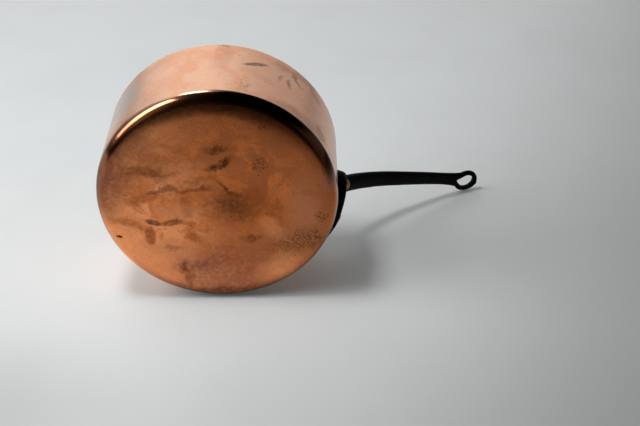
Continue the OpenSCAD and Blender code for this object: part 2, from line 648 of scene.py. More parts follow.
STAINS_AND_PAINTED_SHADE: tuple[StainOrShade, ...] = (
    StainOrShade(Side.BASE, 8, -66, 92, 44, MAUVE, 0.70, 0, 0.7),
    StainOrShade(Side.BASE, -20, -60, 34, 22, PLUM, 0.55, 0, 0.6),
    StainOrShade(Side.BASE, 6, -90, 130, 22, MAUVE, 0.55, 0, 0.7),
    StainOrShade(Side.BASE, 0, -93, 120, 12, UMBER, 0.75, 0, 0.6),
    StainOrShade(Side.BASE, -30, -69, 7, 24, UMBER, 0.70, 0, 0.5),
    StainOrShade(Side.BASE, -25, -80, 5, 16, UMBER, 0.55, 0, 0.5),
    StainOrShade(Side.BASE, -35, -8, 32, 13, PINK, 0.88, 4, 0.5),
    StainOrShade(Side.BASE, -46, 21, 26, 9, PINK, 0.60, 6, 0.5),
    StainOrShade(Side.BASE, -22, 31, 22, 10, PINK, 0.45, -20, 0.6),
    StainOrShade(Side.BASE, -40, -47, 52, 19, PINK, 0.88, -8, 0.5),
    StainOrShade(Side.BASE, -62, -60, 30, 16, PINK, 0.40, -35, 0.6),
    StainOrShade(Side.BASE, -74, -21, 34, 9, RUST, 0.55, -10, 0.5),
    StainOrShade(Side.BASE, -62, 3, 30, 8, RUST, 0.50, 12, 0.5),
    StainOrShade(Side.BASE, -25, -3, 9, 20, RUST, 0.45, 0, 0.5),
    StainOrShade(Side.BASE, -14, 22, 26, 7, RUST, 0.50, 10, 0.5),
    StainOrShade(Side.BASE, -30, 50, 36, 8, RUST, 0.35, -16, 0.6),
    StainOrShade(Side.BASE, -92, 8, 26, 46, PLUM, 0.55, 0, 0.6),
    StainOrShade(Side.BASE, -82, 34, 30, 46, PLUM, 0.62, 10, 0.7),
    StainOrShade(Side.BASE, -66, 60, 22, 48, PLUM, 0.45, 38, 0.7),
    StainOrShade(Side.BASE, -56, 29, 36, 12, UMBER, 0.75, -4, 0.7),
    StainOrShade(Side.BASE, -44, 40, 34, 10, RUST, 0.45, -12, 0.8),
    StainOrShade(Side.BASE, 16, -2, 56, 46, RUST, 0.58, -14, 0.8),
    StainOrShade(Side.BASE, 14, -4, 36, 24, UMBER, 0.78, -6, 0.8),
    StainOrShade(Side.BASE, 10, -40, 54, 44, RUST, 0.46, -10, 0.8),
    StainOrShade(Side.BASE, -26, 6, 32, 16, RUST, 0.36, 6, 0.7),
    StainOrShade(Side.BASE, -70, 14, 26, 30, RUST, 0.42, 0, 0.7),
    StainOrShade(Side.BASE, 90, -8, 14, 60, RUST, 0.45, 0, 0.7),
    StainOrShade(Side.BASE, 30, 4, 30, 26, RUST, 0.22, 0, 0.8),
    StainOrShade(Side.BASE, -58, 44, 34, 16, RUST, 0.15, -10, 0.7),
    StainOrShade(Side.BASE, 9, 12.5, 24, 3.6, UMBER, 0.85, -38, 0.5),
    StainOrShade(Side.BASE, 33, 8, 8, 16, RUST, 0.55, 30, 0.7),
    StainOrShade(Side.BASE, 3, 45, 36, 26, RUST, 0.35, 20, 0.8),
    StainOrShade(Side.BASE, 3.5, 37, 20, 6.0, SOOT, 0.85, 28, 0.6),
    StainOrShade(Side.BASE, 2.5, 51, 18, 5.5, UMBER, 0.80, 4, 0.7),
    StainOrShade(Side.BASE, -46, 10.5, 27, 6.0, MAUVE, 0.80, 9, 0.4),
    StainOrShade(Side.BASE, -18, 13, 30, 5.0, UMBER, 0.65, 2, 0.6),
    StainOrShade(Side.BASE, -54, -19.5, 15, 5.0, PLUM, 0.95, -20, 0.35, Edge.CLEAN),
    StainOrShade(Side.BASE, -38, -19.5, 19, 6.0, UMBER, 0.75, 12, 0.35, Edge.CLEAN),
    StainOrShade(Side.BASE, -57, -33, 9, 19, RUST, 0.85, 0, 0.3, Edge.CLEAN),
    StainOrShade(Side.BASE, -24, -21, 9, 7, RUST, 0.60, -30, 0.5),
    StainOrShade(Side.BASE, -20, -35, 16, 12, RUST, 0.60, -30, 0.5),
    StainOrShade(Side.BASE, -39, -47, 13, 6, RUST, 0.55, 0, 0.5),
    StainOrShade(Side.BASE, -83, -34, 5.5, 2.8, SOOT, 0.98, -15, 0.3, Edge.CLEAN),
    StainOrShade(Side.BASE, 28, -35, 18, 6, UMBER, 0.60, 24, 0.6),
    StainOrShade(Side.BASE, 75, 10, 13, 7, RUST, 0.60, 0, 0.3, Edge.CLEAN),
    StainOrShade(Side.BASE, 54, -64, 40, 24, GLOW, 0.90, 40, 0.7),
    StainOrShade(Side.BASE, 50, -28, 30, 15, GLOW, 0.60, -35, 0.7),
    StainOrShade(Side.BASE, 46, -8, 38, 12, RUST, 0.50, -58, 0.6),
    StainOrShade(Side.BASE, 74, -8, 30, 60, DUSK, 0.65, 0, 0.7),
    StainOrShade(Side.BASE, 66, -42, 54, 34, OLIVE, 0.32, 10, 0.8),
    StainOrShade(Side.BASE, 63, -39, 34, 22, OLIVE, 0.80, 30, 0.7, Edge.SPECKLED),
    StainOrShade(Side.BASE, 81, -38, 12, 22, OLIVE, 0.95, 0, 0.6, Edge.SPECKLED),
    StainOrShade(Side.BASE, 87, -12, 7, 12, OLIVE, 0.95, 0, 0.6, Edge.SPECKLED),
    StainOrShade(Side.BASE, 36, 37, 11, 14, OLIVE, 0.95, 30, 0.6, Edge.SPECKLED),
    StainOrShade(Side.BASE, 40, 73, 16, 8, OLIVE, 0.70, -30, 0.7, Edge.SPECKLED),
    # The dark marks along the top edge of the base are painted reflection of the dark room, where the
    # base begins to curve up into the corner.
    StainOrShade(Side.BASE, -26, 84, 40, 8, UMBER, 0.50, 10, 0.7),
    StainOrShade(Side.BASE, 2, 89, 34, 8, UMBER, 0.45, 0, 0.6),
    StainOrShade(Side.BASE, 50, 70, 44, 22, UMBER, 0.35, -36, 0.8),
    StainOrShade(Side.BASE, 26, 86, 50, 14, SOOT, 0.55, -18, 0.6),
    # The first two wall marks and the pale grey one at 76 degrees are painted reflection: the grey sheen
    # of the pale room on the wall's left and right sides.
    StainOrShade(Side.WALL, -62.0, 55, 62, 56, PAINTED_PALE_REFLECTION, 0.85, 0, 0.5),
    StainOrShade(Side.WALL, -47.0, 54, 28, 48, PAINTED_DIM_REFLECTION, 0.40, 12, 0.7),
    StainOrShade(Side.WALL, -31.0, 78, 30, 14, RUST, 0.22, 10, 0.6),
    StainOrShade(Side.WALL, -30.0, 20, 18, 22, RUST, 0.22, 40, 0.7),
    StainOrShade(Side.WALL, 3.0, 66, 15, 46, RUST, 0.22, -6, 0.5),
    StainOrShade(Side.WALL, 18.8, 63.5, 23, 5.4, SOOT, 0.75, 29, 0.35, Edge.CLEAN),
    StainOrShade(Side.WALL, 36.8, 57, 3.5, 15, UMBER, 0.70, -8, 0.6),
    StainOrShade(Side.WALL, 32.0, 58, 3.0, 10, UMBER, 0.50, -12, 0.7),
    StainOrShade(Side.WALL, 41.5, 72, 4.0, 17, UMBER, 0.60, 28, 0.6),
    StainOrShade(Side.WALL, 4.0, 86, 4.5, 3.5, UMBER, 0.75, 0, 0.5),
    StainOrShade(Side.WALL, 33.0, 80, 18, 14, RUST, 0.40, 0, 0.6),
    StainOrShade(Side.WALL, 55.0, 75, 14, 12, RUST, 0.40, 0, 0.4),
    StainOrShade(Side.WALL, 46.0, 82, 26, 12, PLUM, 0.35, 0, 0.6),
    StainOrShade(Side.WALL, 58.0, 21, 17, 16, PLUM, 0.45, 0, 0.4),
    StainOrShade(Side.WALL, 42.0, 14, 44, 14, PLUM, 0.42, 0, 0.7),
    StainOrShade(Side.WALL, 76.0, 48, 32, 80, PAINTED_PALE_REFLECTION, 0.40, 0, 0.6),
    StainOrShade(Side.WALL, 14.0, 22, 12, 26, OLIVE, 0.60, 0, 0.7, Edge.SPECKLED),
    StainOrShade(Side.WALL, 25.0, 44, 12, 8, OLIVE, 0.35, 0, 0.7, Edge.SPECKLED),
)


@dataclass(frozen=True)
class Ring:
    """A dark band along part of the corner. Some bands paint the reflection of the dark room and of the
    contact shadow under the pan; the list says which.

    It is centred on the direction towards, and reaches half to either side, fading over
    ends; these are degrees, and towards counts to the right of the top. It rises from
    nothing at the radius start to its strength at the radius full, in millimetres.
    """

    towards: float
    half: float
    ends: float
    start: float
    full: float
    colour: Colour
    strength: float


RINGS: tuple[Ring, ...] = (
    # At the bottom: painted reflection of the contact shadow under the pan.
    Ring(180.0, 42.0, 16.0, 87.0, 95.5, UMBER, 0.55),
    Ring(172.0, 24.0, 10.0, 94.0, 98.5, SOOT, 0.92),
    # On the left: a darker corner and a darker outer edge.
    Ring(-68.0, 28.0, 10.0, 87.0, 95.5, PLUM, 0.45),
    Ring(-94.0, 26.0, 10.0, 95.5, 99.5, SOOT, 0.75),
    # At the top right: painted reflection of the dark room.
    Ring(38.0, 38.0, 9.0, 90.0, 96.0, SOOT, 0.96),
)


# --------------------------------------------------------------------------
# Finishes
# --------------------------------------------------------------------------

@dataclass(frozen=True)
class UsedCopper:
    """Copper that has been cooked in and wiped: heat-stained base, clearer wall. Some of its marks are
    painted reflection and painted shade.

    The sizes are those of its patterns, from broad clouds to the finest grain, and the
    shares say how strongly a mark shows. Each scratch direction has its turn, in degrees
    from level, and the width of its lines.
    """

    pan_radius: float
    corner_height: float
    fresh: Colour = (0.980, 0.358, 0.142)
    amber: Colour = (0.800, 0.225, 0.058)
    brown: Colour = (0.490, 0.143, 0.047)
    wall: Colour = (0.900, 0.510, 0.345)
    wall_warm: Colour = (0.860, 0.400, 0.225)
    wall_dull: Colour = (0.680, 0.330, 0.200)
    base_roughness: float = 0.27
    wall_roughness: float = 0.28
    corner_roughness: float = 0.13
    cloud_size: float = 24 * MM
    blot_size: float = 15 * MM
    ragged_size: float = 3.2 * MM
    speckle_size: float = 2.0 * MM
    grain_size: float = 1.6 * MM
    pit_spacing: float = 8.0 * MM
    dark_grain_share: float = 0.08
    base_grain_share: float = 0.30
    bright_grain_share: float = 0.14
    scratch_share: float = 0.16
    pit_share: float = 0.8
    wave_size: float = 30 * MM
    wave_depth: float = 0.30 * MM
    scratch_length: float = 30 * MM
    scratch_depth: float = 0.004 * MM
    scratch_lines: tuple[tuple[float, float], ...] = (
        (18.0, 0.45 * MM), (66.0, 0.6 * MM), (97.0, 0.4 * MM), (138.0, 0.7 * MM))
    tint_at_edge: Colour = (1.0, 0.97, 0.94)

    def make(self) -> bpy.types.Material:
        """Build the material.

        Returns:
            The copper material.
        """
        mat = Recipe.material("copper_with_stains_and_painted_shade")
        coarse = mat.noise(mat.coords, self.blot_size, detail=2.0).outputs["Color"]
        fine = mat.noise(mat.coords, self.ragged_size, detail=4.0, roughness=0.6).outputs["Color"]
        grain = mat.noise_num(mat.coords, self.grain_size, detail=5.0, roughness=0.75)
        calm = mat.shift(mat.coords, fine, 2.0 * MM)
        ragged = mat.shift(mat.shift(mat.coords, coarse, 15 * MM), fine, 6.0 * MM)
        patchy = mat.noise_num(mat.coords, 4.0 * MM, detail=4.0, roughness=0.65)
        broken = patchy.fade(0.30, 0.62) * 0.45 + 0.55
        dots = mat.noise_num(mat.coords, self.speckle_size, detail=4.0, roughness=0.7)
        grounds = Grounds(calm, ragged, broken, speckles=dots.fade(0.45, 0.64))

        height = mat.axis(mat.coords, "Z")
        on_base = height.fade(self.corner_height * 0.75, self.corner_height * 0.25)
        base = self.base_tone(mat, grounds)
        wall = self.wall_tone(mat, grounds)
        colour = mat.mix(on_base, wall, base)

        # Each listed mark is laid over the colour: most are stains, some paint a reflection or a shade.
        # The strongest of them all also roughens the copper.
        stained: Num | None = None
        for stain in STAINS_AND_PAINTED_SHADE:
            mask = stain.mask(mat, grounds, self.pan_radius)
            colour = mat.mix(mask, colour, stain.colour)
            stained = mask if stained is None else stained.higher(mask)

        # Dark bands along the corner, most of them painted reflection of shade.
        for ring in RINGS:
            colour = mat.mix(self.ring(mat, grounds, ring) * ring.strength, colour, ring.colour)
        dark_share = on_base * self.base_grain_share + self.dark_grain_share
        colour = mat.mix(grain.fade(0.54, 0.76) * dark_share, colour, UMBER)
        colour = mat.mix(grain.fade(0.46, 0.28) * self.bright_grain_share, colour, GLOW)
        marks, normal = self.scratches(mat)
        colour = mat.mix(marks * on_base * self.scratch_share, colour, UMBER)
        colour = mat.mix(self.pits(mat), colour, SOOT)

        below_wall = height.fade(self.corner_height * 1.3, self.corner_height * 0.9)
        corner = below_wall * height.fade(0.5 * MM, 2.0 * MM)
        roughness = on_base * (self.base_roughness - self.wall_roughness) + self.wall_roughness
        roughness = roughness + stained * 0.10 + (grain - 0.5) * 0.12
        roughness = roughness * (1.0 - corner) + corner * self.corner_roughness
        return mat.finish(
            Base_Color=colour, Metallic=1.0, Roughness=roughness, Normal=normal,
            Specular_Tint=self.tint_at_edge)

    def base_tone(self, mat: Recipe, grounds: Grounds) -> Socket:
        """Ground colour of the base: fresher on the left, browner towards the right and the top as the
        pan lies, which is partly painted shade, with wisps.

        Args:
            mat: The material.
            grounds: The shared patterns.

        Returns:
            The colour's socket.
        """
        # Partly painted shade: browner towards the right and the top as the pan lies, where the base
        # reflects the darker room.
        across = mat.along(LYING.right, grounds.ragged)
        rise = mat.along(LYING.up, grounds.ragged)
        side = (across + rise * 0.45).fade(-70 * MM, 52 * MM)
        tone = mat.mix(side, self.fresh, self.brown)
        wander = mat.noise(mat.coords, 40 * MM).outputs["Color"]
        cooked = mat.reach(mat.shift(grounds.ragged, wander, 50 * MM)).fade(84 * MM, 50 * MM)
        tide = mat.noise_num(grounds.calm, self.cloud_size, detail=5.0, roughness=0.55, distortion=1.2)
        spill = mat.noise_num(grounds.calm, 13 * MM, detail=4.0, roughness=0.6, distortion=1.8)
        veil = mat.noise_num(mat.coords, 7 * MM, detail=5.0, roughness=0.65, distortion=1.6)
        tone = mat.mix(tide.fade(0.48, 0.56) * (cooked * 0.55 + 0.08), tone, self.amber)
        rim = tide.fade(0.485, 0.51) * tide.fade(0.56, 0.515)
        tone = mat.mix(rim * (cooked * 0.40 + 0.04), tone, self.brown)
        tone = mat.mix(spill.fade(0.53, 0.60) * (cooked * 0.36 + 0.05), tone, self.brown)
        return mat.mix(veil.fade(0.50, 0.68) * 0.26, tone, self.brown)

    def wall_tone(self, mat: Recipe, grounds: Grounds) -> Socket:
        """Ground colour of the wall: pinkish, with warm clouds, and darker towards the right as the pan
        lies.

        Args:
            mat: The material.
            grounds: The shared patterns.

        Returns:
            The colour's socket.
        """
        cloud = mat.noise_num(grounds.ragged, self.cloud_size, detail=4.0, roughness=0.55)
        veil = mat.noise_num(mat.coords, 8 * MM, detail=5.0, roughness=0.6, distortion=1.0)
        tone = mat.mix(cloud.fade(0.44, 0.62) * 0.75, self.wall, self.wall_warm)
        # Darker towards the right as the pan lies.
        dull = mat.along(LYING.right, grounds.ragged).fade(0.0, 60 * MM)
        tone = mat.mix(dull * 0.55, tone, self.wall_dull)
        return mat.mix(veil.fade(0.50, 0.70) * 0.25, tone, self.wall_dull)

    def ring(self, mat: Recipe, grounds: Grounds, ring: Ring) -> Num:
        """Dark band round one side of the corner, painted reflection or darkening as listed with the
        bands.

        The mask is the product of a fade towards the rim of the base, a fade by direction
        round the pan, and a fade that ends it at the top of the corner.

        Args:
            mat: The material.
            grounds: The shared patterns.
            ring: Where it lies.

        Returns:
            The mask.
        """
        flat = mat.flattened(grounds.calm)
        angle = math.radians(ring.towards)
        facing = math.sin(angle) * LYING.right + math.cos(angle) * LYING.up
        round_it = mat.along(facing, flat) / mat.reach(flat).higher(1 * MM)
        out = mat.reach(flat).fade(ring.start * MM, ring.full * MM)
        below = mat.axis(mat.coords, "Z").fade(self.corner_height + 1 * MM, self.corner_height - 0.5 * MM)
        first = math.cos(math.radians(ring.half + ring.ends))
        last = math.cos(math.radians(ring.half - ring.ends))
        return out * round_it.fade(first, last) * below

    def pits(self, mat: Recipe) -> Num:
        """Scattered tiny dark dots.

        Args:
            mat: The material.

        Returns:
            A mask of the dots.
        """
        cells = mat.node(
            "ShaderNodeTexVoronoi", {"feature": "F1"},
            {"Vector": mat.coords, "Scale": 1.0 / self.pit_spacing, "Randomness": 1.0})
        distance = Num(mat, cells.outputs["Distance"])
        pick = mat.axis(cells.outputs["Color"], "X").fade(0.82, 0.86)
        return distance.fade(0.10, 0.05) * pick * self.pit_share

    def scratches(self, mat: Recipe) -> tuple[Num, Socket]:
        """Fine scratches in several directions over a very slight unevenness.

        Args:
            mat: The material.

        Returns:
            A mask of the scratches, and the normal's socket.
        """
        normal = mat.bump(mat.noise_num(mat.coords, self.wave_size, detail=1.0), self.wave_depth)
        marks: Num | None = None
        for turn, width in self.scratch_lines:
            angle = math.radians(turn)
            along = math.cos(angle) * LYING.right + math.sin(angle) * LYING.up
            across = -math.sin(angle) * LYING.right + math.cos(angle) * LYING.up
            axes = np.array([along, across, np.cross(along, across)])
            sizes = (self.scratch_length, width, self.scratch_length)
            coords = mat.turned(mat.coords, (0.0, 0.0, 0.0), axes, sizes)
            lines = mat.noise_num(coords, 1.0, detail=1.0).fade(0.63, 0.74)
            normal = mat.bump(lines, self.scratch_depth, normal)
            marks = lines if marks is None else marks.higher(lines)
        return marks, normal


@dataclass(frozen=True)
class WipedTin:
    """Dull tin wiped on by hand, in broad level strokes."""

    colour: Colour = (0.80, 0.785, 0.745)
    dull: Colour = (0.58, 0.565, 0.53)
    roughness: float = 0.36
    stroke: Place = (60 * MM, 9 * MM, 18 * MM)
    cloud_size: float = 26 * MM
    grain_size: float = 1.4 * MM

    def make(self) -> bpy.types.Material:
        """Build the material.

        Returns:
            The tin material.
        """
        mat = Recipe.material("wiped_tin")
        strokes = mat.turned(mat.coords, (0, 0, 0), np.eye(3), self.stroke)
        wipe = mat.noise_num(strokes, 1.0, detail=3.0, distortion=1.0)
        cloud = mat.noise_num(mat.coords, self.cloud_size, detail=5.0, roughness=0.6)
        grain = mat.noise_num(mat.coords, self.grain_size, detail=3.0)
        colour = mat.mix(cloud.fade(0.42, 0.68) * 0.7, self.colour, self.dull)
        colour = mat.mix(wipe.fade(0.5, 0.7) * 0.35, colour, self.dull)
        roughness = self.roughness + (wipe - 0.5) * 0.25 + (grain - 0.5) * 0.1
        normal = mat.bump(grain, 0.02 * MM, mat.bump(wipe, 0.12 * MM))
        return mat.finish(Base_Color=colour, Metallic=1.0, Roughness=roughness, Normal=normal)


@dataclass(frozen=True)
class BlackIron:
    """Black cast iron with the fine grain of its sand mould, a little paler in patches."""

    colour: Colour = (0.0010, 0.0010, 0.0009)
    worn: Colour = (0.0042, 0.0040, 0.0038)
    roughness: float = 0.52
    shine: float = 0.035
    sand_size: float = 0.9 * MM
    sand_depth: float = 0.10 * MM
    lump_size: float = 5.0 * MM
    lump_depth: float = 0.30 * MM
    patch_size: float = 20 * MM

    def make(self) -> bpy.types.Material:
        """Build the material.

        Returns:
            The iron material.
        """
        mat = Recipe.material("black_cast_iron")
        sand = mat.noise_num(mat.coords, self.sand_size, detail=4.0, roughness=0.65)
        lumps = mat.noise_num(mat.coords, self.lump_size, detail=2.0)
        cloud = mat.noise_num(mat.coords, self.patch_size, detail=3.0)
        rubbed = cloud.fade(0.45, 0.70) * 0.6 + sand.fade(0.55, 0.8) * 0.4
        colour = mat.mix(rubbed, self.colour, self.worn)
        roughness = self.roughness + (sand - 0.5) * 0.30 + (cloud - 0.5) * 0.15
        normal = mat.bump(sand, self.sand_depth, mat.bump(lumps, self.lump_depth))
        return mat.finish(
            Base_Color=colour, Metallic=0.0, Roughness=roughness, Normal=normal,
            Specular_IOR_Level=self.shine)


@dataclass(frozen=True)
class RivetCopper:
    """Dark worn copper outside the pan, tinned over inside it."""

    lined_radius: float
    colour: Colour = (0.50, 0.235, 0.130)
    dark: Colour = (0.20, 0.080, 0.040)
    tin: Colour = (0.58, 0.56, 0.52)

    def make(self) -> bpy.types.Material:
        """Build the material.

        Returns:
            The rivet material.
        """
        mat = Recipe.material("rivet_copper")
        cloud = mat.noise_num(mat.coords, 3.0 * MM, detail=4.0, roughness=0.6)
        dents = mat.noise_num(mat.coords, 2.0 * MM, detail=1.0)
        from_axis = mat.reach(mat.flattened(mat.coords))
        inside = from_axis.fade(self.lined_radius + 1 * MM, self.lined_radius)
        colour = mat.mix(cloud.fade(0.40, 0.66), self.colour, self.dark)
        colour = mat.mix(inside, colour, self.tin)
        normal = mat.bump(dents, 0.10 * MM)
        return mat.finish(Base_Color=colour, Metallic=1.0, Roughness=0.30 + cloud * 0.2, Normal=normal)


@dataclass(frozen=True)
class PalePaper:
    """Smooth pale surface that the pan lies on, with painted shade where the light falls off."""

    colour: Colour = (0.81, 0.83, 0.83)
    shaded: Colour = (0.38, 0.392, 0.388)
    low: Colour = (0.20, 0.205, 0.205)

    def make(self, name: str, falls_off: bool) -> bpy.types.Material:
        """Build the material.

        Args:
            name: Name of the material.
            falls_off: Whether painted shade deepens the tone to the right, in the near left corner
                and towards the near edge, where the light falls off; otherwise it is a low
                even tone, for a strong light of its own.

        Returns:
            The floor material: clear to the camera from behind, so that it hides nothing.
        """
        mat = Recipe.material(name)
        cloud = mat.noise_num(mat.coords, 90 * MM, detail=4.0)
        ground = self.colour if falls_off else self.low
        tone = mat.mix(cloud.fade(0.35, 0.75) * 0.06, ground, self.shaded)
        # Painted shade: the tone deepens to the right, in the near left corner and towards the near edge,
        # as the light falls off.
        if falls_off:
            right_corner = mat.along(LYING.right) - mat.along(LYING.away) * 0.6
            tone = mat.mix(right_corner.fade(-0.08, 0.58), tone, self.shaded)
            left = mat.along(-LYING.right).fade(0.02, 0.20)
            left_corner = left * mat.along(-LYING.away).fade(-0.04, 0.14)
            near_edge = mat.along(-LYING.away).fade(0.03, 0.15)
            tone = mat.mix(left_corner * 0.28 + near_edge * 0.18, tone, self.shaded)
        paper = mat.node(
            "ShaderNodeBsdfPrincipled", {},
            {"Base Color": tone, "Roughness": 0.62, "Specular IOR Level": 0.3})
        clear = mat.node("ShaderNodeBsdfTransparent")
        behind = Num(mat, mat.node("ShaderNodeNewGeometry").outputs["Backfacing"])
        to_camera = Num(mat, mat.node("ShaderNodeLightPath").outputs["Is Camera Ray"])
        both = mat.node(
            "ShaderNodeMixShader", {}, {0: behind * to_camera, 1: paper.outputs[0], 2: clear.outputs[0]})
        mat.node("ShaderNodeOutputMaterial", {}, {"Surface": both.outputs[0]})
        return mat.owner


# --------------------------------------------------------------------------
# The cup and its lining
# --------------------------------------------------------------------------

@dataclass
class Cup:
    """The copper cup and the tin inside it, two nested turned shells.

    The gaps are the first and last steps of the profiles, beside a bend or the rim. The
    bend of the outside is summed in bend_steps and keeps every point at bend_stride.
    """

    radius: float
    height: float
    corner: float = 9.0 * MM
    copper: float = 2.2 * MM
    lining: float = 0.4 * MM
    rim_round: float = 0.7 * MM
    flat_radius: float = 79.0 * MM
    edge_slope: float = math.radians(11.0)
    corner_spread: float = 1.02
    slope_spread: float = 1.0025
    wall_gap: float = 0.4 * MM
    rim_gap: float = 0.3 * MM
    rim_flat: float = 0.2 * MM
    seam: float = 0.02 * MM
    lining_drop: float = 0.25 * MM
    bend_steps: int = 240
    bend_stride: int = 6
    steps_round: int = 288

    @property
    def lined_radius(self) -> float:
        """Inside radius of the lining."""
        return self.radius - self.copper - self.lining

    def outside(self) -> np.ndarray:
        """Profile of the outside, from the middle of the base to the rim.

        The base is flat, then bends gently up from flat_radius to edge_slope, then turns
        through a round corner to the wall: each stretch is summed from its slope, as
        (cos slope, sin slope) times the length of a step.

        Returns:
            Points (radius, height) in metres.
        """
        turn = self.corner * self.corner_spread
        corner_reach = turn * (1.0 - math.sin(self.edge_slope))
        gentle = (self.radius - self.flat_radius - corner_reach) * self.slope_spread
        steps = self.bend_steps
        share = np.linspace(0.0, 1.0, steps)
        slope = np.concatenate([
            self.edge_slope * share ** 1.5,
            self.edge_slope + (math.pi / 2 - self.edge_slope) * share[1:]])
        step = np.concatenate([
            np.full(steps, gentle / steps),
            np.full(steps - 1, turn * (math.pi / 2 - self.edge_slope) / (steps - 1))])
        radius = self.flat_radius + np.cumsum(np.cos(slope) * step)
        height = np.cumsum(np.sin(slope) * step)
        radius *= self.radius / radius[-1]
        bend = np.stack([radius, height], axis=-1)[::self.bend_stride]
        top = self.height - self.rim_round
        return np.concatenate([
            line((0.0, 0.0), (self.flat_radius * 0.99, 0.0), 24),
            bend,
            line((self.radius, height[-1] + self.wall_gap), (self.radius, top), 40)])

    def inside(self, sheet: float) -> np.ndarray:
        """Profile of an inner face, from the rim down to the middle of the floor.

        Args:
            sheet: Thickness between the outside and this face, in metres.

        Returns:
            Points (radius, height) in metres.
        """
        radius = self.radius - sheet
        bend = self.corner - sheet
        return np.concatenate([
            line((radius, self.height - self.rim_gap), (radius, self.corner + self.wall_gap), 36),
            arc((radius - bend, self.corner), bend, 0.0, -90.0, 24),
            line((radius - bend - 1 * MM, sheet), (0.0, sheet), 24)])

    def shell(self) -> tuple[np.ndarray, np.ndarray]:
        """Surface of the copper: outside, rounded rim, and the face under the lining.

        Returns:
            Points and quads.
        """
        rim_middle = (self.radius - self.rim_round, self.height - self.rim_round)
        rim = arc(rim_middle, self.rim_round, 0.0, 90.0, 10)
        inner_edge = line(
            (self.radius - self.rim_round - self.rim_flat, self.height),
            (self.radius - self.copper, self.height), 4)
        profile = np.concatenate([self.outside(), rim[1:], inner_edge, self.inside(self.copper)])
        return revolve(profile, self.steps_round)

    def skin(self) -> tuple[np.ndarray, np.ndarray]:
        """Surface of the lining: its rim and inner face, closed against the copper.

        Returns:
            Points and quads.
        """
        middle = self.copper + self.lining / 2
        top = self.height - self.lining_drop
        edge = arc((self.radius - middle, top), self.lining / 2, 0.0, 180.0, 7)
        outer = self.inside(self.copper + self.seam)[::-1]
        profile = np.concatenate([outer, edge, self.inside(self.copper + self.lining)])
        return revolve(profile, self.steps_round)

    def build(self) -> list[bpy.types.Object]:
        """Build, dress and place both shells.

        Returns:
            The two pieces.
        """
        copper = new_piece(
            "copper_cup", mesh_from_arrays("copper_cup", *self.shell()),
            UsedCopper(self.radius, self.corner).make())
        tin = new_piece("tin_lining", mesh_from_arrays("tin_lining", *self.skin()), WipedTin().make())
        for piece, node, slot in ((copper, "copper_pan", "copper"), (tin, "lining", "lining")):
            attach(piece, "root")
            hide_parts(node)
        return [copper, tin]


# --------------------------------------------------------------------------
# The handle
# --------------------------------------------------------------------------

@dataclass(frozen=True)
class Lobe:
    """A round corner of the plate: its middle across and up the wall, and its radius."""

    across: float
    up: float
    radius: float


